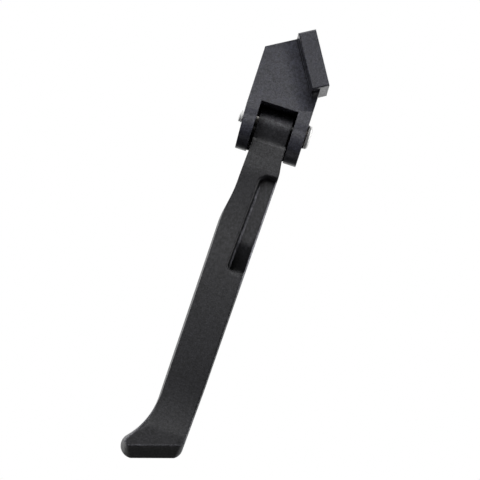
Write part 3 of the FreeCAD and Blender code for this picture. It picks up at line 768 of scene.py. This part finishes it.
def bolt_rings(pivot, floor):
    """Rings from the socket's floor out over the head and along the plain shank, up to the thread."""
    mouth = pivot.socket_flats / math.sqrt(3)
    rim = HEAD_SEAT + pivot.rim_height
    dome = []
    for step in range(DOME_STEPS + 1):
        turn = math.pi / 2 * step / DOME_STEPS
        height = rim + (BOLT_TOP - rim) * math.cos(turn)
        dome.append(round_ring(
            height, pivot.crown_radius + (HEAD_RADIUS - pivot.crown_radius) * math.sin(turn)))
    return [
        hexagon_ring(floor, pivot.socket_flats),
        hexagon_ring(BOLT_TOP - 2 * BOLT_EDGE, pivot.socket_flats),
        round_ring(BOLT_TOP - BOLT_EDGE / 2, mouth),
        round_ring(BOLT_TOP, mouth + BOLT_EDGE),
        *dome,
        round_ring(HEAD_SEAT + BOLT_EDGE, HEAD_RADIUS),
        round_ring(HEAD_SEAT, HEAD_RADIUS - BOLT_EDGE),
        round_ring(HEAD_SEAT, SHANK_RADIUS),
        round_ring(BOLT_TIP + pivot.thread_length, SHANK_RADIUS),
    ]


def skin_rings(mesh, rings):
    """Joins rings of points by faces, one after the other."""
    loops = [[mesh.verts.new(point) for point in ring] for ring in rings]
    for first, second in zip(loops, loops[1:]):
        for index in range(len(first)):
            after = (index + 1) % len(first)
            mesh.faces.new((first[index], first[after], second[after], second[index]))
    return loops


def close_ring(mesh, loop, x):
    """Closes a ring with a fan to a point on the axis."""
    middle = mesh.verts.new((x, 0.0, 0.0))
    for index in range(len(loop)):
        mesh.faces.new((loop[index], loop[(index + 1) % len(loop)], middle))


class STAND_OT_make_bolt(bpy.types.Operator):
    """Make the button-head bolt with its socket and thread"""

    bl_idname = "stand.make_bolt"
    bl_label = "Make Bolt"

    def execute(self, context):
        pivot = context.scene.stand_pivot
        material = turned_metal("zinc_plate", pivot.bolt_colour, metallic=0.2, roughness=0.45)
        bolt = bpy.data.objects.new("threaded_bolt", self.bolt_mesh(pivot, material))
        context.scene.collection.objects.link(bolt)
        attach(bolt, "bracket")
        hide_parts("pivot_bolt")
        return {"FINISHED"}

    def bolt_mesh(self, pivot, material):
        """The thread, the head and the shank as one mesh."""
        thread = baked(thread_tree(), {
            "Radius": SHANK_RADIUS, "Pitch": pivot.pitch, "Depth": pivot.thread_depth,
            "Length": pivot.thread_length, "Tip": BOLT_TIP, "Chamfer": pivot.end_chamfer,
            "Steps": THREAD_STEPS, "Segments": SEGMENTS, "Material": material,
        })
        floor = BOLT_TOP - pivot.socket_depth
        shape = bmesh.new()
        shape.from_mesh(thread)
        loops = skin_rings(shape, bolt_rings(pivot, floor))
        close_ring(shape, loops[0], floor - SOCKET_CONE)
        tip = skin_rings(shape, [round_ring(BOLT_TIP, SHANK_RADIUS - pivot.end_chamfer)])
        close_ring(shape, tip[0], BOLT_TIP)
        bmesh.ops.remove_doubles(shape, verts=shape.verts, dist=BOLT_WELD)
        bmesh.ops.recalc_face_normals(shape, faces=shape.faces)
        shape.transform(HINGE_FRAME)
        mesh = bpy.data.meshes.new("threaded_bolt")
        shape.to_mesh(mesh)
        shape.free()
        bpy.data.meshes.remove(thread)
        mesh.materials.append(material)
        mesh.shade_smooth()
        mesh.set_sharp_from_angle(angle=SHARP_ANGLE)
        return mesh


def aim(item, target):
    """Turns a lamp or the camera to look at a point."""
    item.rotation_euler = (target - item.location).to_track_quat("-Z", "Y").to_euler()


def soft_lamp(name, place, target, width, height, power, beam):
    """A soft rectangular lamp with a limited beam."""
    lamp = bpy.data.lights.new(name, "AREA")
    lamp.shape = "RECTANGLE"
    lamp.size = width
    lamp.size_y = height
    lamp.energy = power
    lamp.spread = beam
    item = bpy.data.objects.new(name, lamp)
    bpy.context.scene.collection.objects.link(item)
    item.location = place
    aim(item, target)


class STAND_OT_set_studio(bpy.types.Operator):
    """Set up the camera, the lamps, the pale floor and the white backdrop"""

    bl_idname = "stand.set_studio"
    bl_label = "Set Studio"

    def execute(self, context):
        studio = context.scene.stand_studio
        low, high = CAD_BOX
        middle = (low + high) / 2
        self.place_camera(context, studio)
        for name, (place, width, height, beam) in LAMPS.items():
            power = getattr(studio, name)
            soft_lamp(name, middle + Vector(place), middle, width, height, power, math.radians(beam))
        self.lay_floor(context, studio, low.z - studio.floor_drop)
        self.light_world(context)
        context.scene.view_settings.view_transform = "Standard"
        return {"FINISHED"}

    def place_camera(self, context, studio):
        """The camera looks a little up at the stand from in front."""
        turn, rise = studio.azimuth, studio.elevation
        back = Vector((math.sin(turn) * math.cos(rise), -math.cos(turn) * math.cos(rise), math.sin(rise)))
        right = Vector((math.cos(turn), math.sin(turn), 0.0))
        upward = back.cross(right)
        target = PIVOT - right * studio.pivot_right - upward * studio.pivot_up
        camera = bpy.data.objects.new("camera", bpy.data.cameras.new("camera"))
        context.scene.collection.objects.link(camera)
        camera.location = target + back * studio.distance
        aim(camera, target)
        camera.data.lens = camera.data.sensor_width * studio.distance / studio.picture_width
        context.scene.camera = camera

    def lay_floor(self, context, studio, height):
        """A pale floor, well below the stand, which hangs by its flange."""
        signs = ((-1, -1), (1, -1), (1, 1), (-1, 1))
        corners = [(x * FLOOR_HALF, y * FLOOR_HALF, height) for x, y in signs]
        mesh = bpy.data.meshes.new("floor")
        mesh.from_pydata(corners, [], [(0, 1, 2, 3)])
        material = bpy.data.materials.new("pale_floor")
        material.use_nodes = True
        tree = material.node_tree
        shader = tree.nodes["Principled BSDF"]
        shader.inputs["Base Color"].default_value = (*studio.floor_colour, 1.0)
        shader.inputs["Roughness"].default_value = FLOOR_ROUGHNESS
        shader.inputs["Emission Color"].default_value = WHITE
        path = node_in(tree, "ShaderNodeLightPath")
        lift = product(tree, path.outputs["Is Camera Ray"], studio.floor_lift)
        tree.links.new(lift, shader.inputs["Emission Strength"])
        mesh.materials.append(material)
        floor = bpy.data.objects.new("floor", mesh)
        context.scene.collection.objects.link(floor)

    def light_world(self, context):
        """White behind the stand for the camera and for reflections, and a plain soft light elsewhere."""
        world = bpy.data.worlds.new("studio")
        context.scene.world = world
        world.use_nodes = True
        tree = world.node_tree
        backdrop = tree.nodes["Background"]
        parts = node_in(tree, "ShaderNodeSeparateXYZ", Vector=surface(tree, "Generated")).outputs
        lit = product(tree, *(remap(tree, parts[axis], *span) for axis, span in WORLD_LIGHT.items()))
        path = node_in(tree, "ShaderNodeLightPath").outputs
        seen = calculate(tree, "MAXIMUM", path["Is Glossy Ray"], path["Is Transmission Ray"])
        share = calculate(tree, "MAXIMUM", seen, DIFFUSE_SHARE)
        strength = calculate(tree, "MAXIMUM", product(tree, lit, share), path["Is Camera Ray"])
        tree.links.new(strength, backdrop.inputs["Strength"])
        backdrop.inputs["Color"].default_value = WHITE


class STAND_PT_looks(bpy.types.Panel):
    """Lists the steps that dress the stand"""

    bl_idname = "STAND_PT_looks"
    bl_label = "Scooter Stand"
    bl_space_type = "VIEW_3D"
    bl_region_type = "UI"
    bl_category = "Stand"

    def draw(self, context):
        for settings, steps in PANEL_ROWS:
            box = self.layout.box()
            group = getattr(context.scene, settings)
            for name in group.bl_rna.properties.keys():
                if name not in ("rna_type", "name"):
                    box.prop(group, name)
            for step in steps:
                box.operator(step)


PANEL_ROWS = (
    ("stand_coat", ("stand.coat_castings",)),
    ("stand_pivot", ("stand.finish_pivot", "stand.make_bolt")),
    ("stand_studio", ("stand.set_studio",)),
)
SETTINGS = {"stand_coat": CoatSettings, "stand_pivot": PivotSettings, "stand_studio": StudioSettings}
CLASSES = (
    CoatSettings, PivotSettings, StudioSettings,
    STAND_OT_coat_castings, STAND_OT_finish_pivot, STAND_OT_make_bolt, STAND_OT_set_studio,
    STAND_PT_looks,
)


def register():
    """Adds the classes and puts their settings on the scene."""
    for item in CLASSES:
        bpy.utils.register_class(item)
    for name, group in SETTINGS.items():
        setattr(bpy.types.Scene, name, bpy.props.PointerProperty(type=group))


def unregister():
    """Takes the settings and the classes away."""
    for name in SETTINGS:
        delattr(bpy.types.Scene, name)
    for item in reversed(CLASSES):
        bpy.utils.unregister_class(item)


def main():
    """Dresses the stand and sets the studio."""
    register()
    bpy.ops.stand.coat_castings()
    bpy.ops.stand.finish_pivot()
    bpy.ops.stand.make_bolt()
    bpy.ops.stand.set_studio()


if __name__ == "__main__":
    main()
